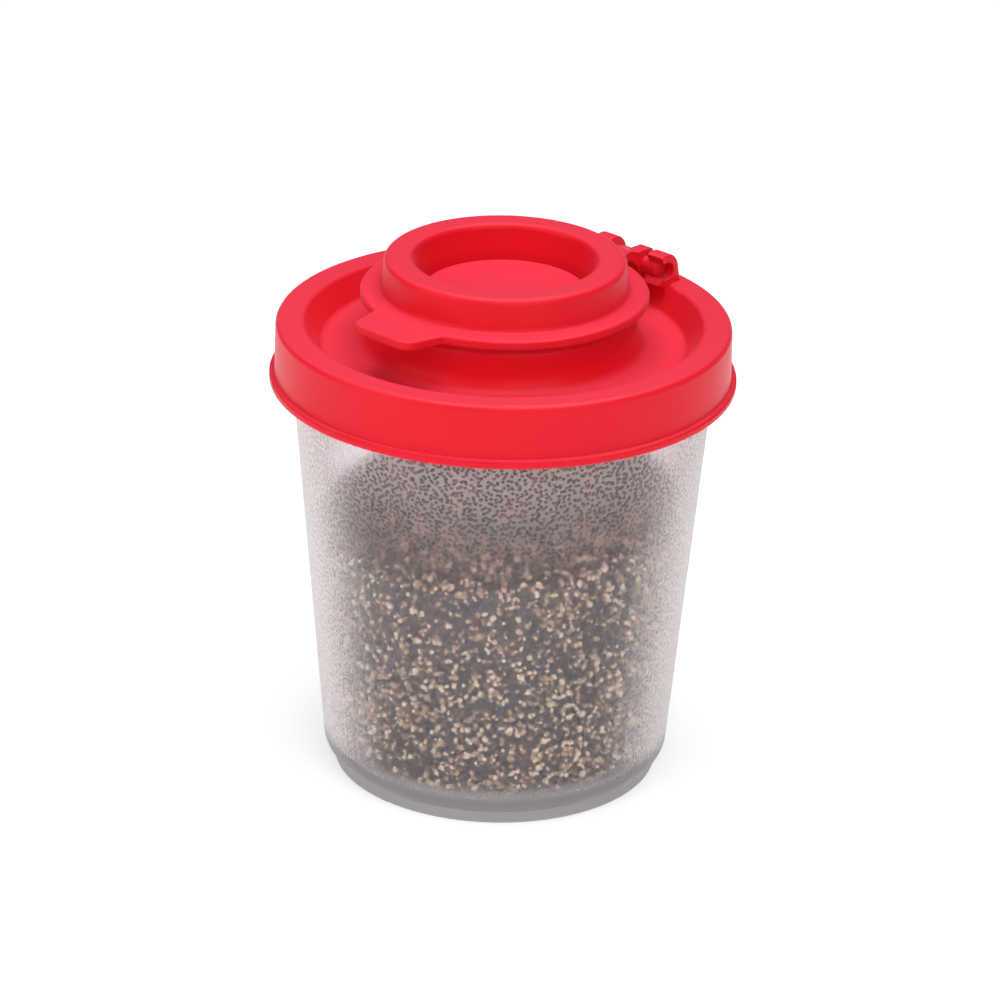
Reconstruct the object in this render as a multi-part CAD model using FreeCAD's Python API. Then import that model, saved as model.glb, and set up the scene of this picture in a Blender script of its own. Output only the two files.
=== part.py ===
import FreeCAD, Part

import math
import os

from FreeCAD import Vector

# Small table shaker with a press-on seal and a flip cap. All sizes are in millimetres.
# Z points up. The origin is the middle of the foot, on the table.
# The thumb tab points to -Y, and the cap's hinge lies at +Y with its pin along X.

# Container
foot_radius = 19.05
foot_width = 2.3
foot_height = 1.3
foot_recess = 0.9
body_base_radius = 20.05
body_slope = 0.089
body_corner = 2.2
container_wall = 1.2
container_floor = 1.6
container_height = 53.8
cavity_corner = 1.8
mouth_round = 0.4
mouth_bead_depth = 0.25
mouth_bead_half = 0.9
mouth_bead_drop = 2.3

# Seal: the press-on lid that holds the sprinkle deck
seal_fit = 0.15
seat_gap = 0.1
skirt_wall = 1.37
rim_thickness = 1.43
rim_width = 3.3
rim_outer_round = 0.7
rim_inner_round = 0.8
skirt_draft = 0.12
skirt_length = 7.23
lip_reach = 0.6
lip_height = 1.0
lip_round = 0.3
seal_wall = 1.2
plug_fit = 0.12
plug_depth = 2.6
well_depth = 2.9
well_slope_width = 2.1
well_corner = 0.9
boss_radius = 15.3
boss_rise = 2.27
boss_draft = 0.15
boss_foot_round = 2.2
boss_edge_round = 0.9
deck_drop = 1.0
deck_thickness = 1.2
collar_inner_radius = 11.8
collar_wall = 0.9
collar_rise = 0.9
collar_round = 0.25
hole_radius = 1.3
hole_ring_radius = 6.2
hole_ring_count = 8

bead_height = container_height - mouth_bead_drop
bead_radius = body_base_radius + body_slope * bead_height + mouth_bead_depth
skirt_inner = bead_radius + seal_fit
skirt_radius = skirt_inner + skirt_wall
lip_radius = skirt_radius + lip_reach
channel_top = container_height + seat_gap
rim_top = channel_top + rim_thickness
rim_inner_radius = skirt_radius - rim_width
lip_bottom = rim_top - skirt_length
well_floor = rim_top - well_depth
well_radius = rim_inner_radius - well_slope_width
boss_top = rim_top + boss_rise
deck_top = boss_top - deck_drop
collar_top = boss_top + collar_rise

# Flip cap
flange_gap = 0.5
flange_radius = 16.6
flange_thickness = 1.1
flange_fillet = 0.7
flange_edge_round = 0.3
ring_radius = 13.95
ring_height = 3.94
ring_outer_round = 0.8
ring_inner_round = 0.7
ring_draft = 0.25
recess_radius = 10.25
recess_groove_depth = 0.9
disc_radius = 9.6
disc_round = 0.6
cap_wall = 1.2
collar_clearance = 0.2
cap_plug_depth = 0.8
cap_plug_width = 2.3
channel_height = 3.4

flange_bottom = boss_top + flange_gap
flange_top = flange_bottom + flange_thickness
ring_top = flange_top + ring_height

# Thumb tab of the cap
tab_reach = 3.9
tab_root_half = 5.5
tab_tip_half = 4.35
tab_corner = 1.9
tab_edge_round = 0.3

# Hinge of the cap
hinge_inset = 1.2
pin_drop = 1.1
pin_radius = 1.05
pin_fit = 0.07
pin_half_length = 4.2
clip_head_radius = 2.05
clip_inner_x = 2.9
clip_length = 2.5
clip_mouth_angle = 54.0
clip_mouth_tilt = 172.0
clip_round = 0.3
clip_post_back = 0.7
clip_post_front = 0.3
clip_post_depth = 1.6
arm_root_inset = 2.0
arm_root_half = 4.3
arm_half = 1.95
arm_neck_length = 3.4
arm_barrel_radius = 1.25
tooth_low_x = 0.3
tooth_rise = 0.55
tooth_round = 0.5

hinge_y = rim_inner_radius - hinge_inset
hinge_z = flange_bottom - pin_drop
arm_root_y = flange_radius - arm_root_inset
arm_neck_y = hinge_y - arm_neck_length

# Ground pepper in the container
pepper_gap = 0.15
pepper_level = 32.3
pepper_tilt = 0.1


def body_radius(z):
    """Outer radius of the container's tapered wall at height z."""
    return body_base_radius + body_slope * z


def inner_radius(z):
    """Inner radius of the container's tapered wall at height z."""
    return body_radius(z) - container_wall


def section(u, v):
    return Vector(u, 0, v)


def plan(u, v):
    return Vector(u, v, 0)


def side(u, v):
    return Vector(0, u, v)


def rounded_face(corners, place):
    """Face inside a closed outline of (u, v) or (u, v, round) corners, put in a plane by place."""
    starts, ends, bends = [], [], []
    count = len(corners)
    for i, corner in enumerate(corners):
        here = Vector(corner[0], corner[1], 0)
        before = Vector(corners[i - 1][0], corners[i - 1][1], 0) - here
        after = Vector(corners[(i + 1) % count][0], corners[(i + 1) % count][1], 0) - here
        before.normalize()
        after.normalize()
        radius = corner[2] if len(corner) > 2 else 0
        half = before.getAngle(after) / 2
        back = radius / math.tan(half)
        middle = before + after
        bend = here
        if radius:
            middle.normalize()
            bend = here + middle * (radius / math.sin(half) - radius)
        starts.append(here + before * back)
        ends.append(here + after * back)
        bends.append(bend if radius else None)
    edges = []
    for i in range(count):
        first, last = starts[i], ends[i]
        if bends[i] is not None:
            points = [place(p.x, p.y) for p in (first, bends[i], last)]
            edges.append(Part.Arc(*points).toShape())
        nxt = starts[(i + 1) % count]
        if (nxt - last).Length > 1e-6:
            edges.append(Part.makeLine(place(last.x, last.y), place(nxt.x, nxt.y)))
    return Part.Face(Part.Wire(edges))


def turned(corners):
    """Solid turned about Z from a section of (radius, height, round) corners."""
    return rounded_face(corners, section).revolve(Vector(0, 0, 0), Vector(0, 0, 1), 360)


def pushed_along_x(face, low, high):
    """Solid between x = low and x = high from a face in the YZ plane."""
    moved = face.copy()
    moved.translate(Vector(low, 0, 0))
    return moved.extrude(Vector(high - low, 0, 0))


def raised(corners, low, high):
    """Solid between two heights from a plan outline."""
    face = rounded_face(corners, plan)
    face.translate(Vector(0, 0, low))
    return face.extrude(Vector(0, 0, high - low))


def flat_edges(shape, heights):
    """Edges of a shape that lie wholly at one of some heights."""
    found = []
    for edge in shape.Edges:
        box = edge.BoundBox
        if any(abs(box.ZMin - z) < 1e-4 and abs(box.ZMax - z) < 1e-4 for z in heights):
            found.append(edge)
    return found


def make_container():
    """Tapered cup on a stepped foot ring, with a bead below its mouth for the seal."""
    cavity_bottom = foot_recess + container_floor
    bead_low = bead_height - mouth_bead_half
    bead_high = bead_height + mouth_bead_half
    foot_top = foot_height + body_corner
    foot_inner = foot_radius - foot_width
    top = container_height
    shoulder = top - mouth_round
    outer = turned([
        (0, foot_height),
        (body_radius(foot_height), foot_height, body_corner),
        (body_radius(bead_low - mouth_bead_half), bead_low - mouth_bead_half),
        (bead_radius, bead_low),
        (bead_radius, bead_high),
        (body_radius(shoulder), shoulder),
        (body_radius(shoulder) - mouth_round, top),
        (0, top),
    ])
    foot = turned([
        (foot_inner, 0, foot_height / 4),
        (foot_radius, 0, foot_height / 4),
        (foot_radius, foot_top),
        (foot_inner, foot_top),
    ])
    panel = turned([
        (0, foot_recess),
        (foot_radius, foot_recess),
        (foot_radius, foot_top),
        (0, foot_top),
    ])
    under_recess = turned([
        (0, 0),
        (foot_inner, 0),
        (foot_inner, foot_recess, foot_recess / 2),
        (0, foot_recess),
    ])
    cavity = turned([
        (0, cavity_bottom),
        (inner_radius(cavity_bottom), cavity_bottom, cavity_corner),
        (inner_radius(shoulder), shoulder),
        (inner_radius(shoulder) + mouth_round, top),
        (inner_radius(shoulder) + mouth_round, top + container_wall),
        (0, top + container_wall),
    ])
    return outer.fuse(foot).fuse(panel).cut(under_recess).cut(cavity).removeSplitter()


def circle_face(radius):
    """Disc about the hinge axis in the side view."""
    return Part.Face(Part.Wire(Part.makeCircle(radius, side(hinge_y, hinge_z), Vector(1, 0, 0))))


def clip_profile():
    """Side view of a hinge clip: a post with a round head, and the opening the pin snaps into."""
    root = channel_top + rim_thickness / 8
    head = circle_face(clip_head_radius)
    post = rounded_face([
        (hinge_y - clip_post_front, rim_top - clip_post_depth),
        (rim_inner_radius - clip_post_front, rim_top - clip_post_depth),
        (rim_inner_radius - clip_post_front, root),
        (hinge_y + clip_head_radius + clip_post_back, root),
        (hinge_y + clip_head_radius, hinge_z),
        (hinge_y - clip_post_front, hinge_z),
    ], side)
    eye = circle_face(pin_radius + pin_fit)
    reach = 2 * clip_head_radius
    mouth = [side(hinge_y, hinge_z)]
    for sign in (-1, 1):
        angle = math.radians(clip_mouth_tilt + sign * clip_mouth_angle)
        mouth.append(side(hinge_y + reach * math.cos(angle), hinge_z + reach * math.sin(angle)))
    mouth.append(mouth[0])
    wedge = Part.Face(Part.makePolygon(mouth))
    return head.fuse(post).removeSplitter(), eye.fuse(wedge).removeSplitter()


def make_clips():
    """The two hinge clips that stand on the seal's rim."""
    solid_view, eye_view = clip_profile()
    clips = []
    for low in (clip_inner_x, -clip_inner_x - clip_length):
        high = low + clip_length
        body = pushed_along_x(solid_view.Faces[0], low, high)
        ends = [e for e in body.Edges if e.BoundBox.XLength < 1e-6 and e.BoundBox.ZMax > rim_top]
        body = body.makeFillet(clip_round, ends)
        hollow = pushed_along_x(eye_view.Faces[0], low - clip_length, high + clip_length)
        clips.append(body.cut(hollow))
    return clips


def make_seal():
    """Press-on lid: skirt over the container, sunken well, boss with sprinkle deck and collar."""
    lip_top = lip_bottom + lip_height
    plug_bottom = well_floor - plug_depth
    under_floor = well_floor - seal_wall
    deck_under = deck_top - deck_thickness
    collar_outer = collar_inner_radius + collar_wall

    def plug_radius(z):
        return inner_radius(z) - plug_fit

    body = turned([
        (0, deck_top),
        (collar_inner_radius, deck_top),
        (collar_inner_radius, collar_top, collar_round),
        (collar_outer, collar_top, collar_round),
        (collar_outer, boss_top),
        (boss_radius, boss_top, boss_edge_round),
        (boss_radius + boss_draft, well_floor, boss_foot_round),
        (well_radius, well_floor, well_corner),
        (rim_inner_radius, rim_top, rim_inner_round),
        (skirt_radius - skirt_draft, rim_top, rim_outer_round),
        (skirt_radius, lip_top, lip_round / 2),
        (lip_radius, lip_top, lip_round),
        (lip_radius, lip_bottom, lip_round),
        (skirt_inner, lip_bottom, lip_round),
        (skirt_inner, channel_top),
        (plug_radius(channel_top), channel_top),
        (plug_radius(plug_bottom), plug_bottom, lip_round),
        (plug_radius(plug_bottom) - seal_wall, plug_bottom, lip_round),
        (plug_radius(under_floor) - seal_wall, under_floor),
        (boss_radius + boss_draft - seal_wall, under_floor),
        (boss_radius - seal_wall, deck_under),
        (0, deck_under),
    ])
    hole = Part.makeCylinder(hole_radius, 3 * deck_thickness, Vector(0, 0, deck_top - 2 * deck_thickness))
    body = body.cut(hole)
    for i in range(hole_ring_count):
        angle = 2 * math.pi * i / hole_ring_count
        moved = hole.copy()
        moved.translate(plan(hole_ring_radius * math.cos(angle), hole_ring_radius * math.sin(angle)))
        body = body.cut(moved)
    for clip in make_clips():
        body = body.fuse(clip)
    return body.removeSplitter()


def make_tab():
    """Thumb tab that sticks out of the cap's flange towards -Y."""
    tip = flange_radius + tab_reach
    root = math.sqrt(flange_radius**2 - tab_root_half**2)
    tab = raised([
        (-tab_root_half, -root),
        (-tab_root_half, -ring_radius),
        (tab_root_half, -ring_radius),
        (tab_root_half, -root),
        (tab_tip_half, -tip, tab_corner),
        (-tab_tip_half, -tip, tab_corner),
    ], flange_bottom, flange_top)
    outer = [e for e in flat_edges(tab, (flange_bottom, flange_top)) if e.BoundBox.YMin < -root - 1e-3]
    return tab.makeFillet(tab_edge_round, outer)


def make_arm():
    """Strap from the cap's flange to the hinge, with its barrel, a stop tooth and the hinge pin."""
    barrel_top = hinge_z + arm_barrel_radius
    low = hinge_z - arm_barrel_radius
    outline = raised([
        (-arm_root_half, arm_root_y),
        (arm_root_half, arm_root_y),
        (arm_half, arm_neck_y, 2 * arm_half),
        (arm_half, hinge_y + 2 * arm_barrel_radius),
        (-arm_half, hinge_y + 2 * arm_barrel_radius),
        (-arm_half, arm_neck_y, 2 * arm_half),
    ], low, flange_top)
    strap = rounded_face([
        (arm_root_y, flange_bottom),
        (hinge_y - 2 * arm_barrel_radius, flange_bottom, flange_edge_round),
        (hinge_y - arm_barrel_radius, hinge_z),
        (hinge_y, hinge_z),
        (hinge_y, barrel_top),
        (hinge_y - 2 * arm_barrel_radius, flange_top, arm_barrel_radius),
        (arm_root_y, flange_top),
    ], side)
    strap = pushed_along_x(strap, -arm_root_half, arm_root_half)
    barrel = pushed_along_x(circle_face(arm_barrel_radius), -arm_root_half, arm_root_half)
    arm = strap.fuse(barrel).common(outline)
    tooth = rounded_face([
        (hinge_y - arm_barrel_radius, hinge_z),
        (hinge_y + arm_barrel_radius, hinge_z),
        (hinge_y + arm_barrel_radius, barrel_top + tooth_rise, tooth_round),
        (hinge_y - arm_barrel_radius, barrel_top + tooth_rise, tooth_round),
    ], side)
    tooth = pushed_along_x(tooth, tooth_low_x, arm_half)
    pin = pushed_along_x(circle_face(pin_radius), -pin_half_length, pin_half_length)
    rims = [e for e in pin.Edges if e.BoundBox.XLength < 1e-6]
    pin = pin.makeFillet(pin_radius / 4, rims)
    return arm.fuse(tooth).fuse(pin)


def make_cap():
    """Flip cap: ring with a recessed disc, flange with the tab, plug and channel for the collar."""
    groove = flange_top - recess_groove_depth
    plug_outer = collar_inner_radius - collar_clearance
    channel_outer = collar_inner_radius + collar_wall + collar_clearance
    plug_bottom = flange_bottom - cap_plug_depth
    disc_under = flange_top - cap_wall
    roof = flange_bottom + channel_height
    body = turned([
        (0, flange_top),
        (disc_radius, flange_top, disc_round),
        (disc_radius, groove),
        (recess_radius, groove),
        (recess_radius + ring_draft, ring_top, ring_inner_round),
        (ring_radius, ring_top, ring_outer_round),
        (ring_radius + ring_draft / 2, flange_top, flange_fillet),
        (flange_radius, flange_top, flange_edge_round),
        (flange_radius, flange_bottom, flange_edge_round),
        (channel_outer, flange_bottom),
        (channel_outer, roof),
        (plug_outer, roof),
        (plug_outer, plug_bottom, flange_edge_round),
        (plug_outer - cap_plug_width, plug_bottom, flange_edge_round),
        (plug_outer - cap_plug_width, disc_under),
        (0, disc_under),
    ])
    return body.fuse(make_tab()).fuse(make_arm()).removeSplitter()


def make_pepper():
    """Ground pepper as a closed solid, level at the middle and higher towards the hinge side."""
    bottom = foot_recess + container_floor + pepper_gap
    high = pepper_level + 2 * pepper_tilt * body_base_radius
    fill = turned([
        (0, bottom),
        (inner_radius(bottom) - pepper_gap, bottom, cavity_corner),
        (inner_radius(high) - pepper_gap, high),
        (0, high),
    ])
    reach = body_radius(container_height)
    rise = pepper_tilt * reach
    above = rounded_face([
        (-reach, pepper_level - rise),
        (reach, pepper_level + rise),
        (reach, high + reach),
        (-reach, high + reach),
    ], side)
    return fill.cut(pushed_along_x(above, -reach, reach))


pieces = {
    "container": make_container(),
    "seal": make_seal(),
    "flip_cap": make_cap(),
    "pepper_fill": make_pepper(),
}
os.makedirs("parts", exist_ok=True)
for name, shape in pieces.items():
    solid = shape.Solids[0]
    solid.exportStep("parts/" + name + ".step")
    print(name, "solids", len(shape.Solids), "valid", solid.isValid(), "volume", round(solid.Volume, 1))
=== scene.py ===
import math
import random

import bmesh
import bpy
from mathutils import Euler, Matrix, Vector


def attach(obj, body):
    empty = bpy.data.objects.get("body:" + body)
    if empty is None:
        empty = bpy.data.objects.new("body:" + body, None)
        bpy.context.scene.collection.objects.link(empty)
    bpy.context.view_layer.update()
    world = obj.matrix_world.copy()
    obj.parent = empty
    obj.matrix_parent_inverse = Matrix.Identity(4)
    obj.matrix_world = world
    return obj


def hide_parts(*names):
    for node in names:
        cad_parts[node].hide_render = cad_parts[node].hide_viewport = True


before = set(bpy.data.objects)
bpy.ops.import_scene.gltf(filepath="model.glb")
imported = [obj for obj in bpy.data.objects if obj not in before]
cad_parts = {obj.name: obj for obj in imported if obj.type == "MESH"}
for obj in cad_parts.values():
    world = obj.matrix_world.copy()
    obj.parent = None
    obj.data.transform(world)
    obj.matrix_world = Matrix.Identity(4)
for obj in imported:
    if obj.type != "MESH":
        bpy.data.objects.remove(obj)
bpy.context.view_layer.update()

MM = 0.001

# Camera, as the photograph was taken: its bearing from the thumb tab's side towards +X
CAMERA_BEARING = 43.5
CAMERA_REACH = 534.9 * MM
CAMERA_HEIGHT = 268.0 * MM
CAMERA_PITCH = 23.75
CAMERA_ROLL = 1.30
CAMERA_LENS = 180.0

# Container, as built: outer radius at the foot, its growth with height, its wall and its floor
WALL_BASE_RADIUS = 20.05 * MM
WALL_SLOPE = 0.089
WALL_THICKNESS = 1.2 * MM
FLOOR_TOP = 2.5 * MM

# Leather grain: it fades in above the foot band, and shows more in the head above the pepper
GRAIN_FADE_LOW = 2.9 * MM
GRAIN_FADE_HIGH = 5.8 * MM
HEAD_LOW = 33 * MM
HEAD_HIGH = 47 * MM
PEBBLES_PER_METRE = 1950
UNROLLED_RADIUS = WALL_BASE_RADIUS + 2 * MM

# Colours of the plastics
RED = (0.800, 0.012, 0.026, 1)
DEEP_RED = (0.720, 0.009, 0.020, 1)
# The paler red is a painted sheen for faces that point up.
PAINTED_SHEEN_RED = (0.820, 0.044, 0.078, 1)
CLEAR_TINT = (0.94, 0.885, 0.92, 1)
MILK = (0.74, 0.675, 0.68, 1)
# The darker grey milk of the foot band is painted shade at the bottom of the wall.
FOOT_PAINTED_SHADE = (0.33, 0.315, 0.31, 1)
SHADOW_TINT = (0.88, 0.86, 0.87, 1)

# Ground pepper: its level, the rise towards the hinge side, its grains, and where its two layers part
PEPPER_LEVEL = 32.3 * MM
PEPPER_TILT = 0.1
PEPPER_GAP = 0.2 * MM
GRAIN_SIZE = 0.42 * MM
WALL_GRAINS = 12000
TOP_GRAINS = 3600
BASE_GRAINS = 900
GRAIN_SEED = 11
SHAPES_PER_TONE = 5
PEPPER_SPLIT = 19 * MM


def inner_radius(z):
    """Inner radius of the container at height z."""
    return WALL_BASE_RADIUS + WALL_SLOPE * z - WALL_THICKNESS


def pepper_top(y):
    """Height of the pepper's surface, which rises towards the hinge side."""
    return PEPPER_LEVEL + PEPPER_TILT * y


def link(tree, source, target):
    tree.links.new(source, target)


def add(tree, kind, **values):
    """A shader node with its plain settings."""
    node = tree.nodes.new(kind)
    for name, value in values.items():
        setattr(node, name, value)
    return node


def new_group(name, inputs, outputs):
    """An empty shader node group with named sockets, and its input and output nodes."""
    group = bpy.data.node_groups.new(name, "ShaderNodeTree")
    for socket, kind, value in inputs:
        made = group.interface.new_socket(socket, in_out="INPUT", socket_type=kind)
        if value is not None:
            made.default_value = value
    for socket, kind in outputs:
        group.interface.new_socket(socket, in_out="OUTPUT", socket_type=kind)
    return group, group.nodes.new("NodeGroupInput"), group.nodes.new("NodeGroupOutput")


def satin_group():
    """Moulded satin finish: faint mottling of the colour, uneven roughness and a fine bump."""
    group, start, end = new_group(
        "moulded_satin",
        [("Vector", "NodeSocketVector", None), ("Colour", "NodeSocketColor", (0.8, 0.1, 0.1, 1)),
         ("Deep Colour", "NodeSocketColor", (0.5, 0.05, 0.05, 1)), ("Roughness", "NodeSocketFloat", 0.4),
         ("Bump", "NodeSocketFloat", 0.1)],
        [("Colour", "NodeSocketColor"), ("Roughness", "NodeSocketFloat"), ("Normal", "NodeSocketVector")])
    broad = add(group, "ShaderNodeTexNoise")
    broad.inputs["Scale"].default_value = 90
    broad.inputs["Detail"].default_value = 3
    fine = add(group, "ShaderNodeTexNoise")
    fine.inputs["Scale"].default_value = 3600
    fine.inputs["Detail"].default_value = 4
    link(group, start.outputs["Vector"], broad.inputs["Vector"])
    link(group, start.outputs["Vector"], fine.inputs["Vector"])
    spread = add(group, "ShaderNodeMapRange")
    spread.inputs["From Min"].default_value = 0.35
    spread.inputs["From Max"].default_value = 0.75
    spread.inputs["To Max"].default_value = 0.35
    link(group, broad.outputs["Fac"], spread.inputs["Value"])
    blend = add(group, "ShaderNodeMix", data_type="RGBA")
    link(group, spread.outputs["Result"], blend.inputs["Factor"])
    link(group, start.outputs["Colour"], blend.inputs[6])
    link(group, start.outputs["Deep Colour"], blend.inputs[7])
    link(group, blend.outputs[2], end.inputs["Colour"])
    sway = add(group, "ShaderNodeMath", operation="MULTIPLY_ADD")
    sway.inputs[1].default_value = 0.16
    link(group, broad.outputs["Fac"], sway.inputs[0])
    link(group, start.outputs["Roughness"], sway.inputs[2])
    link(group, sway.outputs[0], end.inputs["Roughness"])
    bump = add(group, "ShaderNodeBump")
    bump.inputs["Distance"].default_value = 0.05 * MM
    link(group, start.outputs["Bump"], bump.inputs["Strength"])
    link(group, fine.outputs["Fac"], bump.inputs["Height"])
    link(group, bump.outputs["Normal"], end.inputs["Normal"])
    return group


def new_material(name):
    """An empty node material and its output node."""
    material = bpy.data.materials.new(name)
    material.use_nodes = True
    material.node_tree.nodes.clear()
    return material, material.node_tree, material.node_tree.nodes.new("ShaderNodeOutputMaterial")


def red_plastic(name, satin):
    """Red satin polyethylene of the seal and the flip cap.

    A paler red is painted on faces that point up in the piece's own rest position. It is fixed to the
    piece and stands in for light, so it is wrong on an open cap, an open fault.
    """
    material, tree, output = new_material(name)
    coords = add(tree, "ShaderNodeTexCoord")
    finish = add(tree, "ShaderNodeGroup", node_tree=satin)
    finish.inputs["Colour"].default_value = RED
    finish.inputs["Deep Colour"].default_value = DEEP_RED
    finish.inputs["Roughness"].default_value = 0.30
    finish.inputs["Bump"].default_value = 0.25
    link(tree, coords.outputs["Object"], finish.inputs["Vector"])
    shell = add(tree, "ShaderNodeBsdfPrincipled")
    shell.inputs["Specular IOR Level"].default_value = 0.13
    shell.inputs["Sheen Weight"].default_value = 0.1
    shell.inputs["Sheen Roughness"].default_value = 0.35
    shell.inputs["Sheen Tint"].default_value = (1.0, 0.66, 0.86, 1)
    shell.inputs["Subsurface Weight"].default_value = 0.06
    shell.inputs["Subsurface Radius"].default_value = (1.0, 0.12, 0.08)
    shell.inputs["Subsurface Scale"].default_value = 0.8 * MM
    # Painted sheen: faces that point up get a paler red, a painted reflection of the overhead light.
    facing_up = add(tree, "ShaderNodeSeparateXYZ")
    link(tree, coords.outputs["Normal"], facing_up.inputs[0])
    painted_sheen_mask = add(tree, "ShaderNodeMapRange", interpolation_type="SMOOTHSTEP")
    painted_sheen_mask.inputs["From Min"].default_value = 0.55
    painted_sheen_mask.inputs["From Max"].default_value = 0.98
    painted_sheen_mask.inputs["To Max"].default_value = 0.9
    link(tree, facing_up.outputs["Z"], painted_sheen_mask.inputs["Value"])
    paler = add(tree, "ShaderNodeMix", data_type="RGBA")
    paler.inputs[7].default_value = PAINTED_SHEEN_RED
    link(tree, painted_sheen_mask.outputs["Result"], paler.inputs["Factor"])
    link(tree, finish.outputs["Colour"], paler.inputs[6])
    link(tree, paler.outputs[2], shell.inputs["Base Color"])
    link(tree, finish.outputs["Roughness"], shell.inputs["Roughness"])
    link(tree, finish.outputs["Normal"], shell.inputs["Normal"])
    link(tree, shell.outputs[0], output.inputs["Surface"])
    return material


def leather_group():
    """Leather grain of the container's outer wall: raised pebbles parted by creases.

    Rise grows in the head above the pepper, and Foot is 1 in the foot band, which isn't grained.
    """
    group, start, end = new_group(
        "leather_grain",
        [("Vector", "NodeSocketVector", None),
         ("Size", "NodeSocketFloat", PEBBLES_PER_METRE),
         ("Depth", "NodeSocketFloat", 0.7)],
        [("Height", "NodeSocketFloat"), ("Crease", "NodeSocketFloat"),
         ("Rise", "NodeSocketFloat"), ("Foot", "NodeSocketFloat"),
         ("Normal", "NodeSocketVector")])
    split = add(group, "ShaderNodeSeparateXYZ")
    link(group, start.outputs["Vector"], split.inputs[0])
    flat = add(group, "ShaderNodeCombineXYZ")
    link(group, split.outputs["X"], flat.inputs["X"])
    link(group, split.outputs["Y"], flat.inputs["Y"])
    radius = add(group, "ShaderNodeVectorMath", operation="LENGTH")
    link(group, flat.outputs[0], radius.inputs[0])
    wall = add(group, "ShaderNodeMath", operation="MULTIPLY_ADD")
    wall.inputs[1].default_value = WALL_SLOPE
    wall.inputs[2].default_value = WALL_BASE_RADIUS - WALL_THICKNESS / 2
    link(group, split.outputs["Z"], wall.inputs[0])
    outside = add(group, "ShaderNodeMath", operation="GREATER_THAN")
    link(group, radius.outputs["Value"], outside.inputs[0])
    link(group, wall.outputs[0], outside.inputs[1])
    above = add(group, "ShaderNodeMapRange", interpolation_type="SMOOTHSTEP")
    above.inputs["From Min"].default_value = GRAIN_FADE_LOW
    above.inputs["From Max"].default_value = GRAIN_FADE_HIGH
    link(group, split.outputs["Z"], above.inputs["Value"])
    below = add(group, "ShaderNodeMath", operation="SUBTRACT")
    below.inputs[0].default_value = 1
    link(group, above.outputs["Result"], below.inputs[1])
    link(group, below.outputs[0], end.inputs["Foot"])
    mask = add(group, "ShaderNodeMath", operation="MULTIPLY")
    link(group, outside.outputs[0], mask.inputs[0])
    link(group, above.outputs["Result"], mask.inputs[1])
    angle = add(group, "ShaderNodeMath", operation="ARCTAN2")
    link(group, split.outputs["Y"], angle.inputs[0])
    link(group, split.outputs["X"], angle.inputs[1])
    around = add(group, "ShaderNodeMath", operation="MULTIPLY")
    around.inputs[1].default_value = UNROLLED_RADIUS
    link(group, angle.outputs[0], around.inputs[0])
    unrolled = add(group, "ShaderNodeCombineXYZ")
    link(group, around.outputs[0], unrolled.inputs["X"])
    link(group, split.outputs["Z"], unrolled.inputs["Y"])
    pebbles = add(group, "ShaderNodeTexVoronoi", voronoi_dimensions="2D")
    link(group, unrolled.outputs[0], pebbles.inputs["Vector"])
    link(group, start.outputs["Size"], pebbles.inputs["Scale"])
    rise = add(group, "ShaderNodeMapRange", interpolation_type="SMOOTHSTEP")
    rise.inputs["From Min"].default_value = 0.12
    rise.inputs["From Max"].default_value = 0.52
    rise.inputs["To Min"].default_value = 1
    rise.inputs["To Max"].default_value = 0
    link(group, pebbles.outputs["Distance"], rise.inputs["Value"])
    height = add(group, "ShaderNodeMath", operation="MULTIPLY")
    link(group, rise.outputs["Result"], height.inputs[0])
    link(group, mask.outputs[0], height.inputs[1])
    link(group, height.outputs[0], end.inputs["Height"])
    crease = add(group, "ShaderNodeMath", operation="SUBTRACT")
    link(group, mask.outputs[0], crease.inputs[0])
    link(group, height.outputs[0], crease.inputs[1])
    link(group, crease.outputs[0], end.inputs["Crease"])
    upper = add(group, "ShaderNodeMapRange", interpolation_type="SMOOTHSTEP")
    upper.inputs["From Min"].default_value = HEAD_LOW
    upper.inputs["From Max"].default_value = HEAD_HIGH
    link(group, split.outputs["Z"], upper.inputs["Value"])
    link(group, upper.outputs["Result"], end.inputs["Rise"])
    bump = add(group, "ShaderNodeBump")
    bump.inputs["Distance"].default_value = 0.10 * MM
    link(group, start.outputs["Depth"], bump.inputs["Strength"])
    link(group, height.outputs[0], bump.inputs["Height"])
    link(group, bump.outputs["Normal"], end.inputs["Normal"])
    return group


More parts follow.
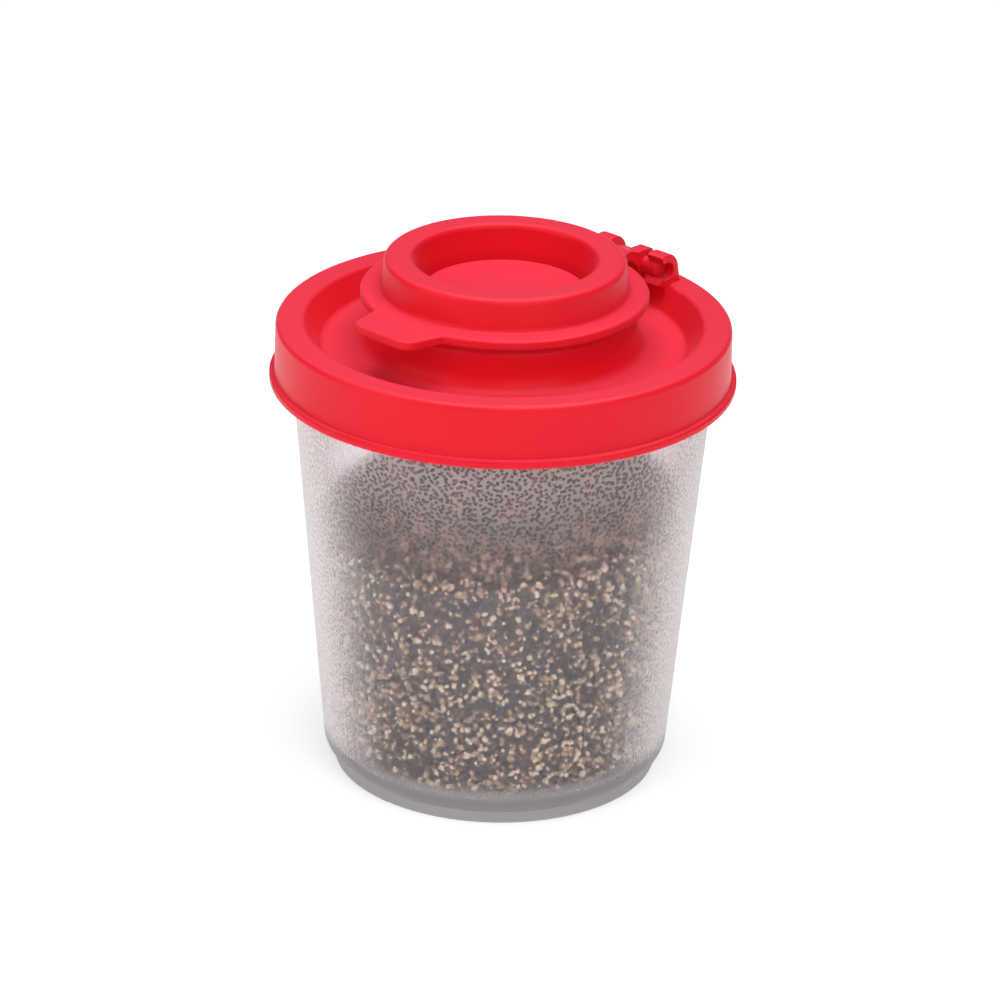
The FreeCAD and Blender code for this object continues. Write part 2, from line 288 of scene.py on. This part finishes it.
def frosted_plastic(name):
    """Natural polypropylene of the container: a rough clear wall with a milky body.

    It is milkier where it is seen edge on, by Layer Weight, and duller in the foot band, where its darker
    grey is painted shade at the bottom of the wall.
    """
    material, tree, output = new_material(name)
    coords = add(tree, "ShaderNodeTexCoord")
    grain = add(tree, "ShaderNodeGroup", node_tree=leather_group())
    link(tree, coords.outputs["Object"], grain.inputs["Vector"])
    clear = add(tree, "ShaderNodeBsdfPrincipled")
    clear.inputs["Base Color"].default_value = CLEAR_TINT
    clear.inputs["Transmission Weight"].default_value = 1
    clear.inputs["IOR"].default_value = 1.12
    rough = add(tree, "ShaderNodeMapRange")
    rough.inputs["To Min"].default_value = 0.30
    rough.inputs["To Max"].default_value = 0.20
    link(tree, grain.outputs["Height"], rough.inputs["Value"])
    link(tree, rough.outputs["Result"], clear.inputs["Roughness"])
    milk = add(tree, "ShaderNodeBsdfPrincipled")
    # In the foot band the milk turns a darker grey: painted shade at the bottom of the wall.
    tint = add(tree, "ShaderNodeMix", data_type="RGBA")
    tint.inputs[6].default_value = MILK
    tint.inputs[7].default_value = FOOT_PAINTED_SHADE
    link(tree, grain.outputs["Foot"], tint.inputs["Factor"])
    link(tree, tint.outputs[2], milk.inputs["Base Color"])
    milk.inputs["Roughness"].default_value = 0.5
    link(tree, grain.outputs["Normal"], milk.inputs["Normal"])
    edge = add(tree, "ShaderNodeLayerWeight")
    edge.inputs["Blend"].default_value = 0.5
    veil = add(tree, "ShaderNodeMapRange", interpolation_type="SMOOTHSTEP")
    veil.inputs["From Min"].default_value = 0.28
    veil.inputs["From Max"].default_value = 0.95
    veil.inputs["To Min"].default_value = 0.05
    veil.inputs["To Max"].default_value = 0.85
    link(tree, edge.outputs["Facing"], veil.inputs["Value"])
    turned_away = add(tree, "ShaderNodeMapRange", interpolation_type="SMOOTHSTEP")
    turned_away.inputs["From Min"].default_value = 0.22
    turned_away.inputs["From Max"].default_value = 0.70
    turned_away.inputs["To Max"].default_value = 0.75
    link(tree, edge.outputs["Facing"], turned_away.inputs["Value"])
    strength = add(tree, "ShaderNodeMath", operation="MAXIMUM")
    link(tree, turned_away.outputs["Result"], strength.inputs[0])
    link(tree, grain.outputs["Rise"], strength.inputs[1])
    shown = add(tree, "ShaderNodeMapRange")
    shown.inputs["To Min"].default_value = 0.05
    shown.inputs["To Max"].default_value = 0.36
    link(tree, strength.outputs[0], shown.inputs["Value"])
    frost = add(tree, "ShaderNodeMath", operation="MULTIPLY_ADD", use_clamp=True)
    link(tree, grain.outputs["Crease"], frost.inputs[0])
    link(tree, shown.outputs["Result"], frost.inputs[1])
    link(tree, veil.outputs["Result"], frost.inputs[2])
    # The foot band's painted shade covers at least 0.6 of the wall there.
    painted_foot_shade = add(tree, "ShaderNodeMath", operation="MULTIPLY")
    painted_foot_shade.inputs[1].default_value = 0.6
    link(tree, grain.outputs["Foot"], painted_foot_shade.inputs[0])
    covered = add(tree, "ShaderNodeMath", operation="MAXIMUM")
    link(tree, frost.outputs[0], covered.inputs[0])
    link(tree, painted_foot_shade.outputs[0], covered.inputs[1])
    body = add(tree, "ShaderNodeMixShader")
    link(tree, covered.outputs[0], body.inputs[0])
    link(tree, clear.outputs[0], body.inputs[1])
    link(tree, milk.outputs[0], body.inputs[2])
    path = add(tree, "ShaderNodeLightPath")
    open_air = add(tree, "ShaderNodeBsdfTransparent")
    open_air.inputs["Color"].default_value = SHADOW_TINT
    lit = add(tree, "ShaderNodeMixShader")
    link(tree, path.outputs["Is Shadow Ray"], lit.inputs[0])
    link(tree, body.outputs[0], lit.inputs[1])
    link(tree, open_air.outputs[0], lit.inputs[2])
    link(tree, lit.outputs[0], output.inputs["Surface"])
    return material


def pepper_material(name, light, dark):
    """One tone of cracked pepper: mottled kernel or husk with a rough broken surface."""
    material, tree, output = new_material(name)
    coords = add(tree, "ShaderNodeTexCoord")
    patches = add(tree, "ShaderNodeTexNoise")
    patches.inputs["Scale"].default_value = 900
    patches.inputs["Detail"].default_value = 5
    link(tree, coords.outputs["Object"], patches.inputs["Vector"])
    tones = add(tree, "ShaderNodeValToRGB")
    tones.color_ramp.elements[0].position = 0.36
    tones.color_ramp.elements[0].color = (*dark, 1)
    tones.color_ramp.elements[1].position = 0.62
    tones.color_ramp.elements[1].color = (*light, 1)
    link(tree, patches.outputs["Fac"], tones.inputs["Fac"])
    bump = add(tree, "ShaderNodeBump")
    bump.inputs["Strength"].default_value = 0.5
    bump.inputs["Distance"].default_value = 0.05 * MM
    link(tree, patches.outputs["Fac"], bump.inputs["Height"])
    crumb = add(tree, "ShaderNodeBsdfPrincipled")
    crumb.inputs["Roughness"].default_value = 0.7
    link(tree, tones.outputs["Color"], crumb.inputs["Base Color"])
    link(tree, bump.outputs["Normal"], crumb.inputs["Normal"])
    link(tree, crumb.outputs[0], output.inputs["Surface"])
    return material


def grain_shapes(rng, tones):
    """Small angular crumbs, a few shapes for each tone."""
    shapes = []
    for tone in range(tones):
        for _ in range(SHAPES_PER_TONE):
            bm = bmesh.new()
            bmesh.ops.create_icosphere(bm, subdivisions=1, radius=1)
            for vert in bm.verts:
                vert.co *= rng.uniform(0.72, 1.18)
            bmesh.ops.scale(bm, verts=bm.verts, vec=(rng.uniform(0.8, 1.35), 1, rng.uniform(0.6, 0.95)))
            for face in bm.faces:
                face.material_index = tone
            mesh = bpy.data.meshes.new("crumb")
            bm.to_mesh(mesh)
            bm.free()
            shapes.append(mesh)
    return shapes


def pepper_spots(rng):
    """Places of the grains: against the wall, on the sloping top and along the floor."""
    spots = []
    for _ in range(WALL_GRAINS):
        angle = rng.uniform(0, 2 * math.pi)
        high = pepper_top(inner_radius(PEPPER_LEVEL) * math.sin(angle))
        z = FLOOR_TOP + GRAIN_SIZE + (high - FLOOR_TOP - GRAIN_SIZE) * rng.random()
        radius = inner_radius(z) - PEPPER_GAP - GRAIN_SIZE * rng.uniform(1.1, 1.9)
        corner = max(0.0, 1.6 * MM - (z - FLOOR_TOP)) * 0.9
        spots.append((radius - corner, angle, z))
    for _ in range(TOP_GRAINS):
        angle = rng.uniform(0, 2 * math.pi)
        radius = (inner_radius(PEPPER_LEVEL) - PEPPER_GAP - GRAIN_SIZE * 1.2) * math.sqrt(rng.random())
        z = pepper_top(radius * math.sin(angle)) + rng.uniform(-0.5, 0.25) * MM
        spots.append((radius, angle, z))
    for _ in range(BASE_GRAINS):
        angle = rng.uniform(0, 2 * math.pi)
        radius = (inner_radius(FLOOR_TOP) - 1.8 * MM) * math.sqrt(rng.uniform(0.55, 1))
        spots.append((radius, angle, FLOOR_TOP + PEPPER_GAP + GRAIN_SIZE * 1.1))
    return spots


def make_pepper():
    """Ground pepper in a lower and an upper layer: a dark body covered with loose angular grains."""
    rng = random.Random(GRAIN_SEED)
    materials = [
        pepper_material("pepper_husk", (0.105, 0.092, 0.090), (0.018, 0.019, 0.026)),
        pepper_material("pepper_brown", (0.21, 0.145, 0.10), (0.08, 0.055, 0.042)),
        pepper_material("pepper_tan", (0.54, 0.43, 0.28), (0.32, 0.24, 0.15)),
        pepper_material("pepper_cream", (0.88, 0.80, 0.60), (0.66, 0.56, 0.38)),
    ]
    shares = [28, 22, 28, 22]
    shapes = grain_shapes(rng, len(materials))
    lower = bmesh.new()
    upper = bmesh.new()
    core_inset = GRAIN_SIZE * 1.6 + PEPPER_GAP
    low = FLOOR_TOP + core_inset
    high = PEPPER_LEVEL - 0.4 * MM
    bmesh.ops.create_cone(lower, cap_ends=True, segments=96, depth=high - low,
                          radius1=inner_radius(low) - core_inset - 0.6 * MM,
                          radius2=inner_radius(high) - core_inset,
                          matrix=Matrix.Translation((0, 0, (high + low) / 2)))
    for vert in lower.verts:
        if vert.co.z > PEPPER_LEVEL / 2:
            vert.co.z = pepper_top(vert.co.y) - 0.5 * MM
    for radius, angle, z in pepper_spots(rng):
        tone = rng.choices(range(len(materials)), shares)[0]
        shape = shapes[tone * SHAPES_PER_TONE + rng.randrange(SHAPES_PER_TONE)]
        place = Matrix.Translation((radius * math.cos(angle), radius * math.sin(angle), z))
        size = GRAIN_SIZE * rng.uniform(0.55, 1.15)
        turn = Euler([rng.uniform(0, 6.28) for _ in range(3)]).to_matrix().to_4x4()
        spot = place @ turn @ Matrix.Scale(size, 4)
        shape.transform(spot)
        layer = lower if z < PEPPER_SPLIT else upper
        layer.from_mesh(shape)
        shape.transform(spot.inverted())
    for name, layer in (("ground_pepper_lower", lower), ("ground_pepper_upper", upper)):
        mesh = bpy.data.meshes.new(name)
        layer.to_mesh(mesh)
        layer.free()
        for material in materials:
            mesh.materials.append(material)
        piece = bpy.data.objects.new(name, mesh)
        bpy.context.scene.collection.objects.link(piece)
        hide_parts("pepper_fill")
        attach(piece, "container")


def make_floor():
    """Plain pale table top, glowing faintly as a light table does."""
    bm = bmesh.new()
    bmesh.ops.create_grid(bm, x_segments=1, y_segments=1, size=3)
    mesh = bpy.data.meshes.new("floor")
    bm.to_mesh(mesh)
    bm.free()
    material, tree, output = new_material("pale_floor")
    surface = add(tree, "ShaderNodeBsdfPrincipled")
    surface.inputs["Base Color"].default_value = (0.96, 0.96, 0.96, 1)
    surface.inputs["Roughness"].default_value = 0.18
    surface.inputs["Specular IOR Level"].default_value = 0.35
    surface.inputs["Emission Color"].default_value = (1, 1, 1, 1)
    surface.inputs["Emission Strength"].default_value = 0.35
    link(tree, surface.outputs[0], output.inputs["Surface"])
    mesh.materials.append(material)
    floor = bpy.data.objects.new("floor", mesh)
    bpy.context.scene.collection.objects.link(floor)


def area_light(name, place, target, size, watts):
    """A square soft light at place, facing target."""
    data = bpy.data.lights.new(name, "AREA")
    data.size = size
    data.energy = watts
    lamp = bpy.data.objects.new(name, data)
    lamp.location = place
    lamp.rotation_euler = (Vector(target) - Vector(place)).to_track_quat("-Z", "Y").to_euler()
    bpy.context.scene.collection.objects.link(lamp)


def light_studio():
    """White dome, dimmer towards the horizon, with soft lights overhead, in front and at the left."""
    world = bpy.data.worlds.new("studio")
    world.use_nodes = True
    tree = world.node_tree
    coords = add(tree, "ShaderNodeTexCoord")
    split = add(tree, "ShaderNodeSeparateXYZ")
    link(tree, coords.outputs["Generated"], split.inputs[0])
    dome = add(tree, "ShaderNodeMapRange", interpolation_type="SMOOTHSTEP")
    dome.inputs["From Max"].default_value = 0.8
    dome.inputs["To Min"].default_value = 0.60
    dome.inputs["To Max"].default_value = 0.90
    link(tree, split.outputs["Z"], dome.inputs["Value"])
    link(tree, dome.outputs["Result"], tree.nodes["Background"].inputs["Strength"])
    bpy.context.scene.world = world
    bearing = math.radians(CAMERA_BEARING)
    front = Vector((math.sin(bearing), -math.cos(bearing), 0))
    right = Vector((math.cos(bearing), math.sin(bearing), 0))
    middle = (0, 0, 0.03)
    area_light("overhead", Vector((0, 0, 0.9)) + 0.05 * right, middle, 0.8, 7.5)
    area_light("left_fill", 0.35 * front - 0.7 * right + Vector((0, 0, 0.4)), middle, 0.8, 2.8)
    area_light("front_soft", 0.75 * front + 0.3 * right + Vector((0, 0, 0.55)), middle, 0.9, 3.8)


def place_camera():
    """Camera at the photograph's angle, distance, roll and lens."""
    bearing = math.radians(CAMERA_BEARING)
    pitch = math.radians(CAMERA_PITCH)
    roll = math.radians(CAMERA_ROLL)
    inward = Vector((-math.sin(bearing), math.cos(bearing), 0))
    ahead = inward * math.cos(pitch) - Vector((0, 0, math.sin(pitch)))
    right = Vector((math.cos(bearing), math.sin(bearing), 0))
    up = right.cross(ahead)
    across = right * math.cos(roll) + up * math.sin(roll)
    upward = up * math.cos(roll) - right * math.sin(roll)
    data = bpy.data.cameras.new("photo_camera")
    data.lens = CAMERA_LENS
    data.sensor_width = 36
    data.clip_start = 0.01
    camera = bpy.data.objects.new("photo_camera", data)
    turn = Matrix((across, upward, -ahead)).transposed().to_4x4()
    place = Vector((0, 0, CAMERA_HEIGHT)) - inward * CAMERA_REACH
    camera.matrix_world = Matrix.Translation(place) @ turn
    bpy.context.scene.collection.objects.link(camera)
    bpy.context.scene.camera = camera


def dress(node, material):
    """Gives a construction node its finish."""
    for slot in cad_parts[node].material_slots:
        slot.material = material


place_camera()
light_studio()
make_floor()
satin = satin_group()
dress("seal", red_plastic("red_seal", satin))
dress("flip_cap", red_plastic("red_cap", satin))
dress("container", frosted_plastic("frosted_wall"))
make_pepper()
bpy.context.scene.view_settings.view_transform = "Standard"
